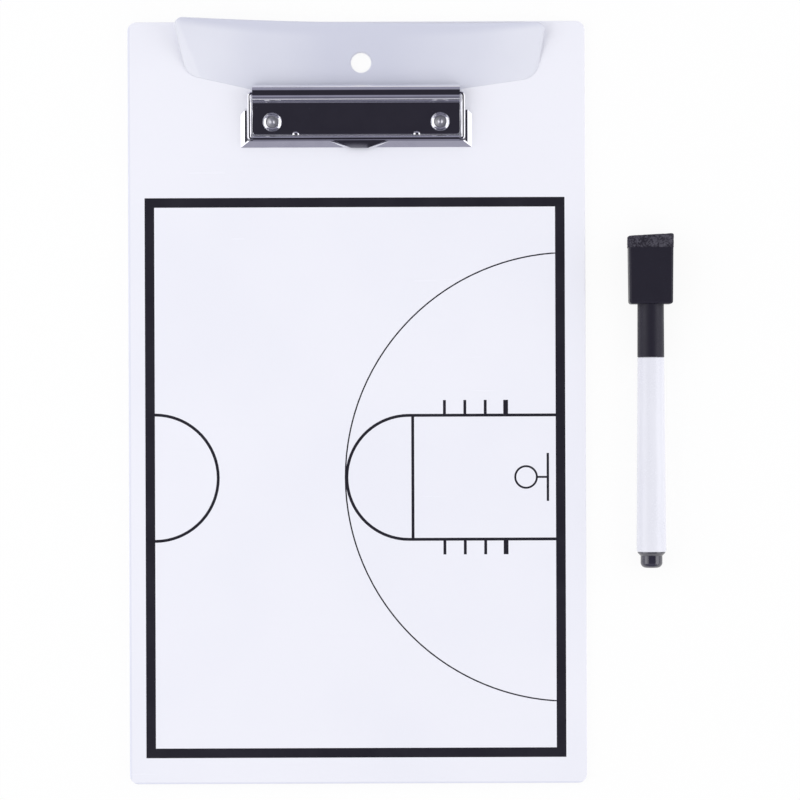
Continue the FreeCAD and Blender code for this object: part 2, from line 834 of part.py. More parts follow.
def marker_cap():
    bore = holder_collar_radius + cap_clearance
    return turned(
        (bore, 0),
        (cap_mouth_radius, 0),
        (cap_radius, cap_length),
        (cap_stud_radius, cap_length),
        (cap_stud_radius, cap_length + cap_stud_length),
        (0, cap_length + cap_stud_length),
        (0, cap_length - cap_end_wall),
        (bore, cap_length - cap_end_wall),
    )


def eraser_head():
    """The moulded block on the cap, a little wider at the felt, with a socket for the cap's stud."""
    low = marker_front + cap_length
    top = low + head_length
    floor = marker_z - head_thickness / 2
    solid = prism(
        loop(
            vec(marker_offset - head_low_width / 2, low, floor),
            vec(marker_offset + head_low_width / 2, low, floor),
            vec(marker_offset + head_top_width / 2, top, floor),
            vec(marker_offset - head_top_width / 2, top, floor),
        ),
        vec(0, 0, head_thickness),
    )
    long_edges = [e for e in solid.Edges if e.BoundBox.YLength > head_length / 2]
    low_edges = [e for e in solid.Edges if e.BoundBox.YMax < low + head_length / 2]
    solid = solid.makeFillet(head_round, long_edges + low_edges)
    socket = Part.makeCylinder(
        cap_stud_radius + marker_fit, cap_stud_length, vec(marker_offset, low, marker_z), vec(0, 1, 0)
    )
    return solid.cut(socket)


def eraser_felt():
    """The felt pad on the end of the block, worn to a slight slope."""
    low = marker_front + cap_length + head_length
    floor = marker_z - head_thickness / 2
    solid = prism(
        loop(
            vec(marker_offset - felt_width / 2, low, floor),
            vec(marker_offset + felt_width / 2, low, floor),
            vec(marker_offset + felt_width / 2, low + felt_length + felt_slope / 2, floor),
            vec(marker_offset - felt_width / 2, low + felt_length - felt_slope / 2, floor),
        ),
        vec(0, 0, head_thickness),
    )
    free_edges = [e for e in solid.Edges if e.BoundBox.YMax > low + felt_round]
    return solid.makeFillet(felt_round, free_edges)


front_ink = front_print()
back_ink = back_print()
right_spring = torsion_spring()
parts = {
    "board_panel": board_panel([front_ink, back_ink]),
    "court_print_front": front_ink,
    "court_print_back": back_ink,
    "hang_flap": hang_flap(),
    "clip_base": clip_base(),
    "clip_rivets": clip_rivets(),
    "clip_bail": clip_bail(),
    "clip_jaw": clip_jaw(),
    "torsion_spring_right": right_spring,
    "torsion_spring_left": mirrored(right_spring),
    "marker_barrel": marker_barrel(),
    "marker_tail_plug": marker_tail_plug(),
    "ink_store": ink_store(),
    "nib_holder": nib_holder(),
    "marker_nib": marker_nib(),
    "marker_cap": marker_cap(),
    "eraser_head": eraser_head(),
    "eraser_felt": eraser_felt(),
}

os.makedirs("parts", exist_ok=True)
for name, shape in parts.items():
    shape.exportStep(os.path.join("parts", name + ".step"))
    print(name, "solids", len(shape.Solids), "valid", shape.isValid(), "volume", round(shape.Volume, 1))
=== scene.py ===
# %% [markdown]
# A coach's tactics board lies on a white table with its marker beside it. The imported CAD model is the frame
# of this scene: every node already sits in its place, in metres, and only needs a finish. A few pieces are
# made anew here: the curled hanging flap and the felt pad, because their softness is what the eye looks for,
# and the two springs of the clip.

# %% Load the imported model
import json
import math

import bpy
import numpy as np
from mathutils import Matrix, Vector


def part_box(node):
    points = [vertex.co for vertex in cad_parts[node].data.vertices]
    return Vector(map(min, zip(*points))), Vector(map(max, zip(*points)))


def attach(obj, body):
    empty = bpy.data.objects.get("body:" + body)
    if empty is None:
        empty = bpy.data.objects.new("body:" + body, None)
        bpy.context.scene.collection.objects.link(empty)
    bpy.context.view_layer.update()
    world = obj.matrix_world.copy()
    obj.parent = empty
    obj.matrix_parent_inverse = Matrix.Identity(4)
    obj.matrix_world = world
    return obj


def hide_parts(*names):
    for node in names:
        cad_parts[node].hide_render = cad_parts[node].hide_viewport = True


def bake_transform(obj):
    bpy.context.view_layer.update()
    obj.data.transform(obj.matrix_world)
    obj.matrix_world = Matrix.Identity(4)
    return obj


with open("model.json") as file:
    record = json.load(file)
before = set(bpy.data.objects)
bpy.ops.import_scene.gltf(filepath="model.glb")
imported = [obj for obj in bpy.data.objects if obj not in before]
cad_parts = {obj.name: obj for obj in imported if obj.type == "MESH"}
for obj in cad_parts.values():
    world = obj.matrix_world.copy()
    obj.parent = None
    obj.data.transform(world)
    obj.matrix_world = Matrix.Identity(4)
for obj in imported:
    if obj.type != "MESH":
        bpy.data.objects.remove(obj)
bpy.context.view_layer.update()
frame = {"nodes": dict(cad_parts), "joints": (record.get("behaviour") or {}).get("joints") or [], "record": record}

mm = 0.001
nodes = frame["nodes"]

# %% [markdown]
# The picture was taken from straight above with a long lens, so upright faces hardly show. From two metres a
# lens of 180 mm covers 400 mm of table, which is the width of the picture. The board lies a fraction of a
# degree askew, so the camera is rolled by that much and the board stays square to its own axes.

# %% Camera over the table
board_low, board_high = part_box("board_panel")
camera_height = 2.0
picture_width = 0.4
camera_lens = bpy.data.cameras.new("camera")
camera_lens.sensor_width = 36.0
camera_lens.lens = camera_lens.sensor_width * camera_height / picture_width
view_x, view_y = 21.4 * mm, 1.2 * mm
roll = math.radians(-0.2)
camera = bpy.data.objects.new("camera", camera_lens)
camera.location = (view_x, view_y, board_high.z + camera_height)
camera.rotation_euler = (0.0, 0.0, roll)
bpy.context.scene.collection.objects.link(camera)
bpy.context.scene.camera = camera
bpy.context.scene.view_settings.view_transform = "Standard"
print("lens", round(camera_lens.lens, 1), "mm at", round(camera.location.z, 3), "m")

# %% [markdown]
# Every finish below is worked out from noise and from places on the piece. Wiring such sums by hand is hard
# to read, so a small class wraps a socket of the shader: plus, minus and times on it add Math nodes, and one
# method adds any other node. A sum on paper then looks like the same sum in the file.


# %% A socket that takes part in sums
class Reading:
    """A shader socket in a node tree. Each operator adds one Math node and returns its output."""

    def __init__(self, tree, socket=None):
        self.tree = tree
        self.socket = socket

    def node(self, kind, settings, sockets, output=0):
        """Adds a node, applies its settings, then feeds its sockets with values or readings."""
        made = self.tree.nodes.new(kind)
        for name, value in settings.items():
            setattr(made, name, value)
        for name, value in sockets.items():
            if isinstance(value, Reading):
                self.tree.links.new(value.socket, made.inputs[name])
            else:
                made.inputs[name].default_value = value
        return Reading(self.tree, made.outputs[output] if made.outputs else None)

    def sum(self, operation, first, second):
        """One Math node on two values or readings."""
        return self.node("ShaderNodeMath", {"operation": operation}, {0: first, 1: second})

    def __add__(self, other):
        return self.sum("ADD", self, other)

    def __sub__(self, other):
        return self.sum("SUBTRACT", self, other)

    def __rsub__(self, other):
        return self.sum("SUBTRACT", other, self)

    def __mul__(self, other):
        return self.sum("MULTIPLY", self, other)

    def __pow__(self, other):
        return self.sum("POWER", self, other)

    def __abs__(self):
        return self.sum("ABSOLUTE", self, 0.0)

    __radd__ = __add__
    __rmul__ = __mul__

    def between(self, low, high):
        """0 below low, 1 above high and a smooth step from one to the other."""
        return self.node(
            "ShaderNodeMapRange",
            {"interpolation_type": "SMOOTHSTEP"},
            {"Value": self, "From Min": low, "From Max": high},
        )

    def tint(self, first, second):
        """The first colour where this reading is 0 and the second where it is 1."""
        return self.node("ShaderNodeMix", {"data_type": "RGBA"}, {0: self, 6: first, 7: second}, 2)

    def axis(self, name):
        """One coordinate of a reading that is a place or a direction."""
        return self.node("ShaderNodeSeparateXYZ", {}, {0: self}, name)


print("readings can be added, subtracted, multiplied and raised, and can tint a colour")

# %% [markdown]
# Every material starts empty. Some sums also ask how a ray came here, because the camera and mirrors are
# shown a cleaner white than the one that lights the board.


# %% Empty materials and direct sight
def blank_material(name):
    """A new material without nodes, and the reading that its sums start from."""
    material = bpy.data.materials.new(name)
    material.use_nodes = True
    material.node_tree.nodes.clear()
    return material, Reading(material.node_tree)


def direct_sight(start):
    """1 for rays from the camera and rays that a mirror or a clear piece sends on, 0 for scattered light."""
    kinds = ("Is Camera Ray", "Is Glossy Ray", "Is Transmission Ray")
    camera_ray, glossy_ray, clear_ray = (start.node("ShaderNodeLightPath", {}, {}, kind) for kind in kinds)
    return (camera_ray + glossy_ray + clear_ray).between(0.0, 1.0)


pure_white = (1.0, 1.0, 1.0, 1.0)

# %% [markdown]
# A studio for a white board on white needs no strong shadow. Two wide soft boxes stand left and right of the
# table, and an even sky fills in the rest. Rays from the camera, and rays that a mirror or a clear piece
# sends on, see plain white.

# %% White sky
sky = bpy.data.worlds.new("studio_sky")
sky.use_nodes = True
sky.node_tree.nodes.clear()
up = Reading(sky.node_tree)
fill = 0.79
fill_blue = 1.02 * fill
seen = direct_sight(up).tint((fill, fill, fill_blue, 1.0), pure_white)
background = up.node("ShaderNodeBackground", {}, {"Color": seen})
up.node("ShaderNodeOutputWorld", {}, {"Surface": background})
bpy.context.scene.world = sky
print("sky fill", fill)

# %% [markdown]
# New pieces are grids of points. Each is worked out as one array from two parameters, one along the rows and
# one along the columns, and these helpers turn such an array into a mesh with four-sided faces.


# %% From a grid of points to a mesh
def grid_faces(rows, columns, closed):
    """Four-sided faces of a grid: each joins a point, its right neighbour and the two points above them."""
    starts = np.arange(columns if closed else columns - 1)
    row, column = np.meshgrid(np.arange(rows - 1), starts, indexing="ij")
    following = (column + 1) % columns
    near, far = row * columns, (row + 1) * columns
    faces = np.stack([near + column, near + following, far + following, far + column], axis=-1)
    return faces.reshape(-1, 4).tolist()


def smooth_piece(name, points, faces, material):
    """An object at the origin with these points and faces, shaded smooth."""
    mesh = bpy.data.meshes.new(name)
    mesh.from_pydata(points.reshape(-1, 3).tolist(), [], faces)
    mesh.polygons.foreach_set("use_smooth", np.ones(len(mesh.polygons), bool))
    mesh.materials.append(material)
    piece = bpy.data.objects.new(name, mesh)
    bpy.context.scene.collection.objects.link(piece)
    print(name, len(mesh.vertices), "points", len(mesh.polygons), "faces")
    return piece


# %% [markdown]
# Bright chrome shows only what it mirrors. In a white room it would vanish, so studios hang cloths for it to
# mirror. Here one long cloth arches over the table from front to back, like a tunnel: black overhead, grey
# towards the table. Two plain grey cloths close the tunnel's ends. They are there for mirrors alone and
# cast no light and no shadow.


# %% Cloths for the chrome to mirror
def glow_with(start, colour):
    """Lets the material glow with a colour reading, at the brightness that a mirror shows."""
    glow = start.node("ShaderNodeEmission", {}, {"Color": colour, "Strength": 1.0})
    start.node("ShaderNodeOutputMaterial", {}, {"Surface": glow})


def hang_cloth(name, points, material):
    """A sheet of the studio that only mirrors see."""
    cloth = smooth_piece(name, points, grid_faces(*points.shape[:2], False), material)
    cloth.visible_camera = False
    cloth.visible_diffuse = False
    cloth.visible_transmission = False
    cloth.visible_shadow = False


arch_cloth, over = blank_material("arch_cloth")
here = over.node("ShaderNodeTexCoord", {}, {}, "Object")
lean_y = over.sum("ARCTAN2", here.axis("Y"), here.axis("Z"))


def lean_between(low, high):
    """0 where the cloth leans less than low degrees, 1 where it leans more than high."""
    return lean_y.between(math.radians(low), math.radians(high))


black = lean_between(-34, -21) * (1 - lean_between(38, 54))
low_grey = lean_between(-88, -64).tint((0.365, 0.36, 0.445, 1.0), (0.12, 0.117, 0.16, 1.0))
front_grey = lean_between(-58, -44).tint(low_grey, (0.28, 0.275, 0.36, 1.0))
grey = lean_between(0, 20).tint(front_grey, (0.30, 0.295, 0.385, 1.0))
glow_with(over, black.tint(grey, (0.028, 0.026, 0.038, 1.0)))

cloth_radius = 1.7
cloth_half = 1.9
leans = np.radians(np.linspace(-88, 88, 89))
lean, along = np.meshgrid(leans, np.linspace(-1, 1, 3) * cloth_half, indexing="ij")
arch = np.stack([along, cloth_radius * np.sin(lean), cloth_radius * np.cos(lean)], axis=-1)
hang_cloth("mirror_cloth", arch, arch_cloth)

end_cloth, beside = blank_material("end_cloth")
rise = beside.node("ShaderNodeTexCoord", {}, {}, "Object").axis("Z")
glow_with(beside, rise.between(0.0, 1.2).tint((0.46, 0.455, 0.545, 1.0), (0.62, 0.615, 0.68, 1.0)))
sides = np.array([-1.0, 1.0]) * cloth_radius
heights = np.array([0.0, 1.0]) * cloth_radius
across, upward = np.meshgrid(sides, heights, indexing="ij")
for end, name in ((-1, "left"), (1, "right")):
    sheet = np.stack([0 * across + end * cloth_half, across, upward], axis=-1)
    hang_cloth("mirror_cloth_" + name, sheet, end_cloth)

# %% [markdown]
# The soft boxes are plain area lamps. A lamp of radiance L and area A needs a power of pi times L times A, so
# their brightness is set as the radiance that a mirror would show.


# %% Soft boxes
def soft_box(name, place, aim, width, height, radiance):
    """A rectangular lamp at place that faces aim, with power pi times radiance times area."""
    lamp = bpy.data.lights.new(name, "AREA")
    lamp.shape = "RECTANGLE"
    lamp.size = width
    lamp.size_y = height
    lamp.energy = math.pi * radiance * width * height
    box = bpy.data.objects.new(name, lamp)
    box.location = place
    sight = Vector(aim) - Vector(place)
    box.rotation_euler = sight.to_track_quat("-Z", "Y").to_euler()
    box.visible_camera = False
    bpy.context.scene.collection.objects.link(box)
    return box


soft_boxes = [
    soft_box("soft_box_right", (0.85, 0.02, 0.40), (0.10, 0.0, 0.0), width=1.4, height=0.62, radiance=1.05),
    soft_box("soft_box_left", (-0.85, 0.02, 0.62), (-0.05, 0.0, 0.0), width=1.4, height=1.0, radiance=1.0),
]
print("soft boxes", [round(box.data.energy, 2) for box in soft_boxes], "W")

# %% [markdown]
# The table is one large white sheet. To the camera and in mirrors it is nearly white by itself, and the rest
# of its brightness is ordinary reflected light, which is what lets the soft shadows show.

# %% White table
table_half = 4.0
table_drop = 0.2 * mm
table_mesh = bpy.data.meshes.new("table")
corners = np.array([(-1, -1, 0), (1, -1, 0), (1, 1, 0), (-1, 1, 0)], float) * table_half
corners[:, 2] = -table_drop
table_mesh.from_pydata(corners.tolist(), [], [(0, 1, 2, 3)])
table = bpy.data.objects.new("table", table_mesh)
bpy.context.scene.collection.objects.link(table)
table_finish, top = blank_material("table_white")
own_white = 0.9
lit = top.node("ShaderNodeBsdfDiffuse", {}, {"Color": (0.9, 0.9, 0.9, 1.0)})
glow = top.node("ShaderNodeEmission", {}, {"Color": pure_white, "Strength": 1.0})
both = top.node("ShaderNodeMixShader", {}, {0: own_white * direct_sight(top), 1: lit, 2: glow})
top.node("ShaderNodeOutputMaterial", {}, {"Surface": both})
table_mesh.materials.append(table_finish)
print("table", 2 * table_half, "m")

# %% [markdown]
# A finish is one Principled shader. Numbers that are the same all over are set on the shader itself, and
# what changes over the surface arrives as a reading. The helpers give every finish the same three tools:
# places on the piece, noise at a size in millimetres, and a bump.


# %% Helpers for finishes
def finish(name, **constants):
    """A new material with a Principled shader. Underscores in the constants' names stand for spaces."""
    material, start = blank_material(name)
    sockets = {key.replace("_", " "): value for key, value in constants.items()}
    shader = start.node("ShaderNodeBsdfPrincipled", {}, sockets)
    start.node("ShaderNodeOutputMaterial", {}, {"Surface": shader})
    return material, start, shader.socket.node


def feed(start, shader, **readings):
    """Links readings to the shader's sockets of the same names."""
    for key, reading in readings.items():
        start.tree.links.new(reading.socket, shader.inputs[key.replace("_", " ")])


def places(start, turn=(0.0, 0.0, 0.0), stretch=(1.0, 1.0, 1.0)):
    """Object coordinates, turned by angles and then stretched along each axis."""
    here = start.node("ShaderNodeTexCoord", {}, {}, "Object")
    return start.node("ShaderNodeMapping", {}, {"Vector": here, "Rotation": turn, "Scale": stretch})


def noise(start, size, detail=3.0, where=None):
    """Smooth noise from 0 to 1 whose blots are about size metres across."""
    where = where or places(start)
    sockets = {"Vector": where, "Scale": 1.0 / size, "Detail": detail}
    return start.node("ShaderNodeTexNoise", {}, sockets, "Fac")


def bump(start, height, depth):
    """A normal from a height reading, where 1 stands for depth metres."""
    sockets = {"Height": height, "Distance": depth, "Strength": 1.0}
    return start.node("ShaderNodeBump", {}, sockets, "Normal")


def facing_up(start):
    """1 on a face that looks straight up, 0 on an upright face and -1 on one that looks down."""
    return start.node("ShaderNodeNewGeometry", {}, {}, "Normal").axis("Z")


def side_faces(start):
    """1 on faces that stand upright and 0 on faces that lie flat."""
    return 1 - abs(facing_up(start)).between(0.3, 0.8)


def dress(material, *names):
    """Puts one finish on every material slot of the named nodes."""
    for name in names:
        for slot in nodes[name].material_slots:
            slot.material = material
    print(material.name, "on", ", ".join(names))


# %% [markdown]
# The board is white plastic under a hard clear film, so that a marker's ink stays on top. It is glossy, with
# a trace of orange peel, and many wipes with a cloth leave hair-fine strokes that only change how sharply it
# shines. The sawn edges are rougher and a little greyer than the faces. A narrow band along the front and left
# edges of the face is painted darker, as painted shade where the rounded rim turns away from the light.

# %% Dry-wipe white
dry_wipe, start, shader = finish("dry_wipe_white", IOR=1.46)
clouds = noise(start, 90 * mm, 2.0)
drawn_out = (0.05, 1.0, 1.0)
strokes = noise(start, 4 * mm, 4.0, places(start, (0.0, 0.0, 0.45), drawn_out))
cross_strokes = noise(start, 3 * mm, 4.0, places(start, (0.0, 0.0, -0.8), drawn_out))
peel = noise(start, 1.1 * mm, 2.0)
sawn = side_faces(start)
face_white = clouds.between(0.35, 0.7).tint((0.865, 0.868, 0.935, 1.0), (0.845, 0.850, 0.922, 1.0))
face_white = (strokes.between(0.62, 0.8) * 0.1).tint(face_white, (0.80, 0.805, 0.88, 1.0))
here = places(start)
# painted shade: a narrow band along the front and left edges is darkened to stand in for the shade on the rounded
# rim
front_rim_shade = 1 - (here.axis("Y") - board_low.y).between(0.6 * mm, 1.1 * mm)
left_rim_shade = 1 - (here.axis("X") - board_low.x).between(0.9 * mm, 1.4 * mm)
face_white = (0.9 * front_rim_shade + 0.7 * left_rim_shade).tint(face_white, (0.735, 0.752, 0.862, 1.0))
feed(
    start,
    shader,
    Base_Color=sawn.tint(face_white, (0.78, 0.785, 0.86, 1.0)),
    Roughness=0.16 + 0.09 * strokes.between(0.4, 0.75) + 0.06 * cross_strokes.between(0.45, 0.8) + 0.3 * sawn,
    Normal=bump(start, peel + 2.0 * sawn * noise(start, 0.5 * mm), 0.012 * mm),
)
dress(dry_wipe, "board_panel")

# %% [markdown]
# The court is screen printed. Ink from a screen dries satin, a shade uneven, with a grain as fine as the
# mesh that it was pressed through.

# %% Screen ink
screen_ink, start, shader = finish("screen_ink", IOR=1.45)
grain = noise(start, 0.35 * mm, 2.0)
patches = noise(start, 14 * mm, 3.0)
uneven = (0.5 * grain + 0.5 * patches).between(0.35, 0.7)
feed(
    start,
    shader,
    Base_Color=uneven.tint((0.0118, 0.0098, 0.0213, 1.0), (0.0168, 0.0148, 0.0273, 1.0)),
    Roughness=0.34 + 0.16 * grain + 0.08 * patches,
    Normal=bump(start, grain, 0.01 * mm),
)
dress(screen_ink, "court_print_front", "court_print_back")

# %% [markdown]
# The clip is pressed steel with bright chrome on it. Chrome is a mirror, so its colour is the room. What
# makes it look real is what breaks the mirror: drawing lines from the press along the sheet, a few fine
# scratches, and the haze that fingers leave, most of all on the tip of the thumb tab.

# %% Bright chrome
chrome, start, shader = finish("bright_chrome", Metallic=1.0)
press_lines = noise(start, 0.9 * mm, 5.0, places(start, stretch=(0.03, 1.0, 1.0)))
scratches = noise(start, 1.6 * mm, 6.0, places(start, (0.3, 0.0, 0.6), (0.04, 1.0, 1.0)))
haze = noise(start, 11 * mm, 3.0)
here = places(start)
beside_tab = abs(here.axis("X")).between(4.5 * mm, 7.5 * mm)
behind_tab = here.axis("Y").between(127.6 * mm, 130.4 * mm)
tab_tip = (1 - beside_tab) * (1 - behind_tab)
scored = scratches.between(0.66, 0.74)
feed(
    start,
    shader,
    Base_Color=haze.between(0.4, 0.75).tint((0.90, 0.90, 0.92, 1.0), (0.84, 0.84, 0.865, 1.0)),
    Roughness=0.035 + 0.05 * haze.between(0.45, 0.8) + 0.12 * scored + 0.03 * press_lines + 0.27 * tab_tip,
    Normal=bump(start, press_lines + 0.6 * scored, 0.0015 * mm),
)
dress(chrome, "clip_base", "clip_jaw", "clip_bail")

# %% [markdown]
# The rivets were set with a punch after plating. The punch polished the sloping rim of each head and left
# the dome inside it dull and dented, with a pip in the middle. So the rim mirrors the room and the dome only
# shows light and dark patches.

# %% Punched rivet heads
punched, start, shader = finish("punched_rivets", Metallic=1.0)
dents = noise(start, 1.5 * mm, 2.0)
fine_dents = noise(start, 0.5 * mm, 2.0)
dome = facing_up(start).between(0.88, 0.95)
rivets_low, rivets_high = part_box("clip_rivets")
pip_y = (rivets_low.y + rivets_high.y) / 2
pip_x = rivets_high.x - (rivets_high.y - pip_y)
here = places(start)
from_pip = ((abs(here.axis("X")) - pip_x) ** 2 + (here.axis("Y") - pip_y) ** 2) ** 0.5
pip = 1 - from_pip.between(0.1 * mm, 1.5 * mm)
feed(
    start,
    shader,
    Base_Color=dents.tint((0.70, 0.70, 0.73, 1.0), (0.86, 0.86, 0.89, 1.0)),
    Roughness=0.1 + 0.08 * fine_dents + 0.31 * dome,
    Normal=bump(start, (dents + 0.3 * fine_dents) * (0.25 + 0.75 * dome) + 3.2 * pip, 0.16 * mm),
)
dress(punched, "clip_rivets")

# %% [markdown]
# Two springs hide in the hinge. Their wire was drawn through a die, which leaves a fine grain and a dull
# straw-grey skin.

# %% Spring wire
spring_wire, start, shader = finish("drawn_spring_wire", Metallic=1.0)
die_grain = noise(start, 0.15 * mm, 3.0)
feed(
    start,
    shader,
    Base_Color=die_grain.tint((0.38, 0.37, 0.36, 1.0), (0.55, 0.54, 0.53, 1.0)),
    Roughness=0.28 + 0.2 * die_grain,
    Normal=bump(start, die_grain, 0.004 * mm),
)
print(spring_wire.name)

# %% [markdown]
# The marker's barrel is moulded white plastic, smooth enough to mirror the soft box as one long streak. Its
# tail plug and the nose under the cap are glossy black, while the cap and the eraser's block come from a
# spark-eroded mould, whose tiny pits spread the shine to a soft sheen.

# %% Moulded plastics
barrel_white, start, shader = finish("moulded_white", IOR=1.5)
flow = noise(start, 8 * mm, 2.0, places(start, stretch=(1.0, 0.2, 1.0)))
skin = noise(start, 0.7 * mm, 2.0)
feed(
    start,
    shader,
    Base_Color=flow.between(0.35, 0.7).tint((0.795, 0.80, 0.868, 1.0), (0.77, 0.775, 0.848, 1.0)),
    Roughness=0.2 + 0.08 * flow + 0.05 * skin,
    Normal=bump(start, skin, 0.008 * mm),
)
dress(barrel_white, "marker_barrel")

gloss_black, start, shader = finish("moulded_gloss_black", IOR=1.6, Specular_IOR_Level=1.0)
flow = noise(start, 5 * mm, 3.0)
feed(
    start,
    shader,
    Base_Color=flow.tint((0.024, 0.022, 0.04, 1.0), (0.032, 0.03, 0.05, 1.0)),
    Roughness=0.1 + 0.1 * flow,
    Normal=bump(start, noise(start, 0.6 * mm), 0.006 * mm),
)
dress(gloss_black, "marker_tail_plug", "nib_holder")

satin_black, start, shader = finish("moulded_satin_black", IOR=1.44, Specular_IOR_Level=0.4)
pits = noise(start, 0.28 * mm, 2.0)
rub_and_painted_light = noise(start, 9 * mm, 3.0)
dust = noise(start, 0.5 * mm, 1.0).between(0.74, 0.8)
clean_black = rub_and_painted_light.tint((0.0138, 0.0117, 0.0245, 1.0), (0.0188, 0.0167, 0.0305, 1.0))
feed(
    start,
    shader,
    Base_Color=(0.25 * dust).tint(clean_black, (0.12, 0.12, 0.14, 1.0)),
    Roughness=0.4 + 0.1 * pits - 0.08 * rub_and_painted_light.between(0.5, 0.8),
    Normal=bump(start, pits, 0.02 * mm),
)
dress(satin_black, "marker_cap", "eraser_head")

# %% [markdown]
# The ink sits in a fibre rod inside the barrel and feeds a pressed fibre nib. Both are bundles of threads
# that run along the marker, so their noise is stretched that way.

# %% Ink fibres
ink_fibre, start, shader = finish("ink_fibre", IOR=1.4)
threads = noise(start, 0.3 * mm, 3.0, places(start, stretch=(1.0, 0.06, 1.0)))
feed(
    start,
    shader,
    Base_Color=threads.tint((0.012, 0.012, 0.016, 1.0), (0.05, 0.05, 0.06, 1.0)),
    Roughness=0.55 + 0.3 * threads,
    Normal=bump(start, threads, 0.06 * mm),
)
dress(ink_fibre, "ink_store", "marker_nib")

# %% [markdown]
# The springs press the jaw shut. Each has a tang in a slot of the swinging wire, a coil round it, and a leg
# that leans on the fixed plate. When the jaw opens, the tang goes with it and the leg stays, so the coil
# between them has to twist. A wire is a circle carried along a line.


# %% Torsion springs
def spring_line(turns, radius, pitch, tang_tail, tang_reach, leg):
    """The middle of the wire, from the place where the tang crosses the axis: a straight tang, an arc of
    radius (radius squared less reach squared) over twice the radius, which is tangent to the tang and to the
    coil, a helix along x, and a straight leg along the helix's last direction."""
    tang_steps, bend_steps, turn_steps, leg_steps = 4, 16, 48, 4
    hook = (radius ** 2 - tang_reach ** 2) / (2 * radius)
    tang_angle = -math.atan2(hook, tang_reach)
    tang_way = np.linspace(-tang_tail, tang_reach, tang_steps, endpoint=False)[:, None]
    tang = tang_way * np.array([0, math.cos(tang_angle), math.sin(tang_angle)])
    bend_angle = np.linspace(tang_angle - np.pi / 2, 0, bend_steps, endpoint=False)
    bend_y = radius - hook + hook * np.cos(bend_angle)
    bend_line = np.stack([0 * bend_angle, bend_y, hook * np.sin(bend_angle)], axis=-1)
    angle = np.linspace(0, 2 * np.pi * turns, turn_steps * turns + 1)
    coil = np.stack([pitch * angle / (2 * np.pi), radius * np.cos(angle), radius * np.sin(angle)], axis=-1)
    last_way = np.array([pitch / (2 * np.pi), 0, radius])
    leg_way = np.linspace(0, leg, leg_steps + 1)[1:, None]
    leg_line = coil[-1] + leg_way * last_way / np.linalg.norm(last_way)
    return np.concatenate([tang, bend_line, coil, leg_line])


def wire_tube(line, radius, sides):
    """A circle carried along a line: each place plus the radius times cosine of an angle times the normal
    plus sine times the binormal. The normal is square to the line and to the x axis."""
    way = np.gradient(line, axis=0)
    normal = np.cross(way, (1.0, 0.0, 0.0))
    normal /= np.linalg.norm(normal, axis=1, keepdims=True)
    binormal = np.cross(way, normal)
    binormal /= np.linalg.norm(binormal, axis=1, keepdims=True)
    angle = np.arange(sides) * 2 * np.pi / sides
    ring = normal[:, None] * np.cos(angle)[:, None] + binormal[:, None] * np.sin(angle)[:, None]
    ends = [list(range(sides))[::-1], list(range((len(line) - 1) * sides, len(line) * sides))]
    return line[:, None] + radius * ring, grid_faces(len(line), sides, True) + ends


spring_wire_radius = 0.35 * mm
spring_radius = 2.55 * mm
spring_pitch = 1.25 * mm
spring_turns = 6
tang_tail = 1.1 * mm
tang_reach = 1.15 * mm
spring_leg = 1.7 * mm
wire_sides = 14
hinge = next(joint for joint in frame["joints"] if joint["name"] == "jaw_open")["pos_m"]
line = spring_line(spring_turns, spring_radius, spring_pitch, tang_tail, tang_reach, spring_leg)
tube, tube_faces = wire_tube(line, spring_wire_radius, wire_sides)
for side, name in ((1, "right"), (-1, "left")):
    node = "torsion_spring_" + name
    tang_x = min(abs(corner[0]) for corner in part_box(node)) + spring_wire_radius
    place = np.array([side * tang_x, hinge[1], hinge[2]])
    faces = [face[::side] for face in tube_faces]
    spring = smooth_piece("twisting_spring_" + name, tube * (side, 1, 1) + place, faces, spring_wire)
    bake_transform(spring)
    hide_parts(node)

# %% [markdown]
# The hanging flap is a frosted sheet that lets a little of the white behind it through. Its two curled ends
# are painted paler as painted light, palest in a narrow painted highlight along the left end. A strip along its
# free edge, which narrows to both corners, keeps its first grey as painted shade under the curl. The cut edge
# gathers the light that runs inside the sheet, so its colour is painted paler for that light.

# %% Frosted sheet
frosted, start, shader = finish("frosted_sheet", IOR=1.45, Alpha=0.93)
frost = noise(start, 0.4 * mm, 2.0)
drifts = noise(start, 30 * mm, 2.0)
frost_drifts = noise(start, 7 * mm, 3.0)
here = places(start)
flap_x, flap_y = here.axis("X"), here.axis("Y")
strip_middle, strip_half = 6.2 * mm, 95 * mm
edge_tilt = 0.013
left_x, left_y, left_slope = -91.2 * mm, 191.8 * mm, 0.39
from_middle = abs(flap_x - 4 * mm) + 26 * mm * (drifts - 0.5)
strip_width = strip_middle - strip_middle / strip_half ** 2 * flap_x * flap_x
painted_shade_strip = (flap_y + edge_tilt * flap_x + strip_width).between(187.5 * mm, 192.0 * mm)
from_left = flap_x - left_x - left_slope * (left_y - flap_y) + 2.4 * mm * (frost_drifts - 0.5)
# painted light: the curled ends are painted paler and a narrow painted highlight runs along the left end, while
# the strip along the free edge keeps the darker grey as painted shade
rub_and_painted_light = 0.38 * from_middle.between(10 * mm, 50 * mm) + 0.4 * from_middle.between(50 * mm, 84 * mm)
rub_and_painted_light = rub_and_painted_light * (1 - 0.85 * painted_shade_strip) + 0.4 * (1 - from_left.between(-0.4 * mm, 3.2 * mm))
feed(
    start,
    shader,
    Base_Color=rub_and_painted_light.tint((0.655, 0.67, 0.785, 1.0), (0.845, 0.855, 0.93, 1.0)),
    Roughness=0.36 + 0.16 * frost,
    Normal=bump(start, frost, 0.012 * mm),
)
# painted light: the cut edge's paler colour stands in for the light that the sheet carries to it
cut_edge, start, shader = finish("frosted_cut_edge", IOR=1.45, Alpha=0.95)
feed(
    start,
    shader,
    Base_Color=noise(start, 2 * mm).tint((0.86, 0.87, 0.93, 1.0), (0.92, 0.93, 0.98, 1.0)),
    Roughness=0.3 + 0.2 * noise(start, 0.3 * mm),
)
print(frosted.name, cut_edge.name)

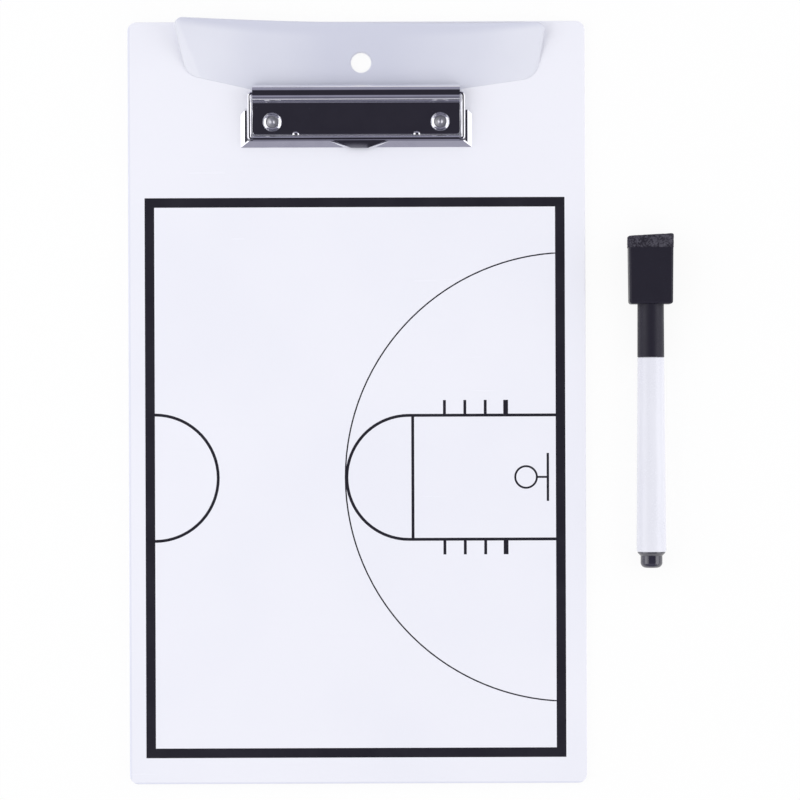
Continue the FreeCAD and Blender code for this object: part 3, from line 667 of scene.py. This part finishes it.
# %% [markdown]
# The flap is clamped flat under the clip and curls up behind it, most of all at its left end. Its outline is
# a polygon with rounded corners, and it has a round hole to hang by. A grid can't have a hole in its middle,
# but a ring can: the columns go round the outline and the rows go from the hole to the outline, so the hole
# is simply the first row.

# %% Curled hanging flap
bend = 159.35 * mm


def rounded_outline(corners, radii, step):
    """Points round a polygon. Each corner is an arc between two places on its sides, at the radius over the
    tangent of half the corner's angle from it, and the sides between arcs are cut into steps."""
    arc_points = 13
    outline = []
    count = len(corners)
    for i in range(count):
        corner = corners[i]
        back = corners[i - 1] - corner
        ahead = corners[(i + 1) % count] - corner
        back, ahead = back / np.linalg.norm(back), ahead / np.linalg.norm(ahead)
        half = math.acos(np.clip(back @ ahead, -1, 1)) / 2
        middle = corner + (back + ahead) / np.linalg.norm(back + ahead) * radii[i] / math.sin(half)
        first = corner + back * radii[i] / math.tan(half) - middle
        last = corner + ahead * radii[i] / math.tan(half) - middle
        share = np.linspace(0, 1, arc_points)[:, None]
        chord = first * (1 - share) + last * share
        outline.append(middle + chord * radii[i] / np.linalg.norm(chord, axis=1, keepdims=True))
    dense = []
    for i in range(count):
        dense.append(outline[i])
        gap = outline[(i + 1) % count][0] - outline[i][-1]
        cuts = max(int(np.linalg.norm(gap) / step), 1)
        dense.append(outline[i][-1] + gap * (np.arange(1, cuts) / cuts)[:, None])
    return np.concatenate(dense)


def curl_height(x, y):
    """Height of the sheet over the board: an arc that starts at the bend and reaches the lift at the free
    edge. The lift is a parabola across the sheet, high on the left, with two slow waves on top."""
    half_span = 100.2 * mm
    across = x / half_span
    lift = (2.6 - 4.0 * across + 7.4 * across ** 2) * mm
    run = board_high.y - bend
    beyond = np.clip(y - bend, 0, None)
    radius = (run ** 2 + lift ** 2) / (2 * lift)
    wave_height, wave_pace, wave_start = 0.35 * mm, 7.0, 0.6
    wave = wave_height * (beyond / run) ** 2 * (1 + np.sin(across * wave_pace + wave_start))
    return radius - np.sqrt(radius ** 2 - beyond ** 2) + wave


hole = next(mount for mount in frame["record"]["mounts"] if mount["name"] == "hang_hole")
hole_centre = np.array(hole["pos_m"][:2])
hole_ease = 0.3 * mm
hole_radius = hole["dims"]["r_mm"] * mm + hole_ease
sheet_gap = 0.03 * mm
sheet_thickness = 0.46 * mm
free_edge_from = 186 * mm
edge_middle, edge_half, edge_sag = 2.0 * mm, 93.2 * mm, 0.9 * mm
outline_step = 1.2 * mm
flap_rows, row_crowding = 56, 1.15
right_side = [(51.4, 135.9), (51.4, 156.5), (90.0, 162.0), (95.2, 189.5)]
left_side = [(-91.2, 191.8), (-85.0, 164.1), (-51.4, 156.5), (-51.4, 135.9)]
corners = np.array(right_side + left_side) * mm
corner_radii = np.array([1.0, 3.0, 9.0, 4.0, 4.0, 9.0, 3.0, 1.0]) * mm
outline = rounded_outline(corners, corner_radii, outline_step)
free_edge = outline[:, 1] > free_edge_from
edge_way = (outline[:, 0] - edge_middle) / edge_half
outline[:, 1] -= free_edge * edge_sag * np.clip(1 - edge_way ** 2, 0, None)
outward = outline - hole_centre
rim = hole_centre + hole_radius * outward / np.linalg.norm(outward, axis=1, keepdims=True)
share = np.linspace(0, 1, flap_rows)[:, None, None] ** row_crowding
flat = rim * (1 - share) + outline * share
height = board_high.z + sheet_gap + curl_height(flat[..., 0], flat[..., 1])
flap_points = np.concatenate([flat, height[..., None]], axis=-1)
hang_flap = smooth_piece("hanging_flap", flap_points, grid_faces(*flat.shape[:2], True), frosted)
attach(hang_flap, "board")
sheet = hang_flap.modifiers.new("sheet", "SOLIDIFY")
sheet.thickness = sheet_thickness
sheet.offset = 1.0
sheet.material_offset_rim = 1
hang_flap.data.materials.append(cut_edge)
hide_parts("hang_flap")

# %% [markdown]
# Felt is pressed fibre: a soft block with a mottled, matt skin and loose hairs. Its finish has hardly any
# shine, and light flecks where fibres catch the light.

# %% Pressed felt
felt, start, shader = finish("pressed_felt", IOR=1.3, Specular_IOR_Level=0.15)
tufts = noise(start, 0.9 * mm, 4.0)
matting = noise(start, 3.5 * mm, 3.0)
flecks = (0.65 * tufts + 0.35 * matting).between(0.38, 0.62)
feed(
    start,
    shader,
    Base_Color=flecks.tint((0.021, 0.019, 0.028, 1.0), (0.082, 0.078, 0.10, 1.0)),
    Roughness=0.86 + 0.12 * tufts,
    Normal=bump(start, tufts, 0.35 * mm),
)
print(felt.name)

# %% [markdown]
# The pad is a rounded block whose end slopes, as it wears on the side that is pressed harder. Its rows go
# along the pad and then fold in over the end to a middle line. A sum of waves in many directions pushes the
# skin in and out by up to about a tenth of a millimetre, and the fibres then stand on that skin.


# %% Felt pad
def rounded_section(count, half_width, half_height, corner):
    """Places round a rounded rectangle, at even steps of an angle: a circle of the corner's radius moved out
    to the four corners by the sign of its own sine and cosine."""
    angle = np.linspace(0, 2 * np.pi, count, endpoint=False) + np.pi / count
    reach = np.stack([np.cos(angle), np.sin(angle)], axis=-1)
    squareness = 0.22
    power = np.sign(reach) * np.abs(reach) ** squareness
    inner = np.array([half_width - corner, half_height - corner])
    return power * inner + reach * corner


def tufted(points, depth, seed):
    """Offset at each point: a sum of sine waves of random directions and lengths, scaled to the depth."""
    count, gain = 40, 4
    dice = np.random.default_rng(seed)
    directions = dice.normal(size=(count, 3))
    directions /= np.linalg.norm(directions, axis=1, keepdims=True)
    lengths = dice.uniform(0.7, 3.5, count) * mm
    phases = dice.uniform(0, 2 * np.pi, count)
    waves = np.sin(points @ (directions * (2 * np.pi / lengths[:, None])).T + phases)
    return depth * waves.mean(axis=-1) * gain


felt_low, felt_high = (np.array(corner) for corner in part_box("eraser_felt"))
felt_centre = (felt_low + felt_high) / 2
tuft_room = 0.2 * mm
tuft_depth = 0.09 * mm
half_width, half_height = (felt_high - felt_low)[[0, 2]] / 2 - tuft_room
slope_rise = 1.2 * mm
edge = 0.9 * mm
corner_radius = 1.0 * mm
section_points, body_rows, turn_rows, fold_rows = 220, 34, 7, 25
section = rounded_section(section_points, half_width, half_height, corner_radius)
turn = np.linspace(0, np.pi / 2, turn_rows + 1)[1:]
fold = np.linspace(1, 0, fold_rows + 1)[1:] ** 0.8
inset = np.concatenate([np.zeros(body_rows), edge * (1 - np.cos(turn)), np.full(fold_rows, edge)])
closing = np.concatenate([np.ones(body_rows + turn_rows), fold])
along = np.concatenate([np.linspace(0, 1, body_rows), np.ones(turn_rows + fold_rows)])
lift = np.concatenate([np.zeros(body_rows), edge * np.sin(turn), np.full(fold_rows, edge)])
shrink = 1 - inset[:, None] / np.array([half_width, half_height])
across = section[None] * (shrink * closing[:, None])[:, None, :]
end_y = felt_high[1] - slope_rise / 2 - edge + slope_rise * across[..., 0] / (2 * half_width)
pad_y = felt_low[1] + (end_y - felt_low[1]) * along[:, None] + lift[:, None]
pad = np.stack([felt_centre[0] + across[..., 0], pad_y, felt_centre[2] + across[..., 1]], axis=-1)
row_step = np.gradient(pad, axis=0)
column_step = np.roll(pad, -1, axis=1) - np.roll(pad, 1, axis=1)
pad_normal = np.cross(column_step, row_step)
pad_normal /= np.maximum(np.linalg.norm(pad_normal, axis=-1, keepdims=True), 1e-12)
pad_normal[-1] = (0, 1, 0)
pad = pad + pad_normal * tufted(pad, tuft_depth, 5)[..., None]
pad[..., 2] = np.maximum(pad[..., 2], felt_low[2])
pad_faces = [face[::-1] for face in grid_faces(*pad.shape[:2], True)]
felt_pad = smooth_piece("felt_pad", pad, pad_faces, felt)
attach(felt_pad, "cap")
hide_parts("eraser_felt")
check_row = 20
out_reach = (pad_normal[check_row] * (pad[check_row] - felt_centre)).sum(-1).mean()
print("skin faces out", round(float(out_reach / mm), 2), "mm")

# %% [markdown]
# Loose hairs make the difference between felt and rubber. Each is a thin three-sided tube that leaves the
# skin, leans over at random and tapers to its tip. All of them are one array: hair, ring along the hair,
# side of the tube.


# %% Loose hairs of the felt
def hairs(count, seed):
    """Hair tubes: a root on the skin plus the normal times the arc's height plus a random lean times the
    square of the way along, and three points round that line at a radius that shrinks to the tip."""
    rings, sides = 4, 3
    first_row, last_row = 2, 62
    dice = np.random.default_rng(seed)
    row = dice.integers(first_row, last_row, count)
    column = dice.integers(0, pad.shape[1], count)
    root, out = pad[row, column], pad_normal[row, column]
    lean = np.cross(out, dice.normal(size=(count, 3)))
    lean /= np.maximum(np.linalg.norm(lean, axis=1, keepdims=True), 1e-9)
    length = dice.uniform(0.25, 0.85, count)[:, None, None] * mm
    way = np.linspace(0, 1, rings)[None, :, None]
    line = root[:, None] + length * (out[:, None] * (way - 0.45 * way ** 2) + lean[:, None] * way ** 2)
    side = np.cross(out, lean)
    angle = np.arange(sides) * 2 * np.pi / sides
    ring = side[:, None] * np.cos(angle)[:, None] + lean[:, None] * np.sin(angle)[:, None]
    radius = 0.022 * mm * (1 - 0.75 * way)
    tubes = line[:, :, None] + ring[:, None] * radius[..., None]
    tubes[..., 2] = np.maximum(tubes[..., 2], felt_low[2])
    one = np.array(grid_faces(rings, sides, True))
    faces = (one[None] + (np.arange(count) * rings * sides)[:, None, None]).reshape(-1, 4)
    return tubes, faces.tolist()


hair_count = 2600
hair_points, hair_faces = hairs(hair_count, 11)
felt_hairs = smooth_piece("felt_hairs", hair_points, hair_faces, felt)
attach(felt_hairs, "cap")
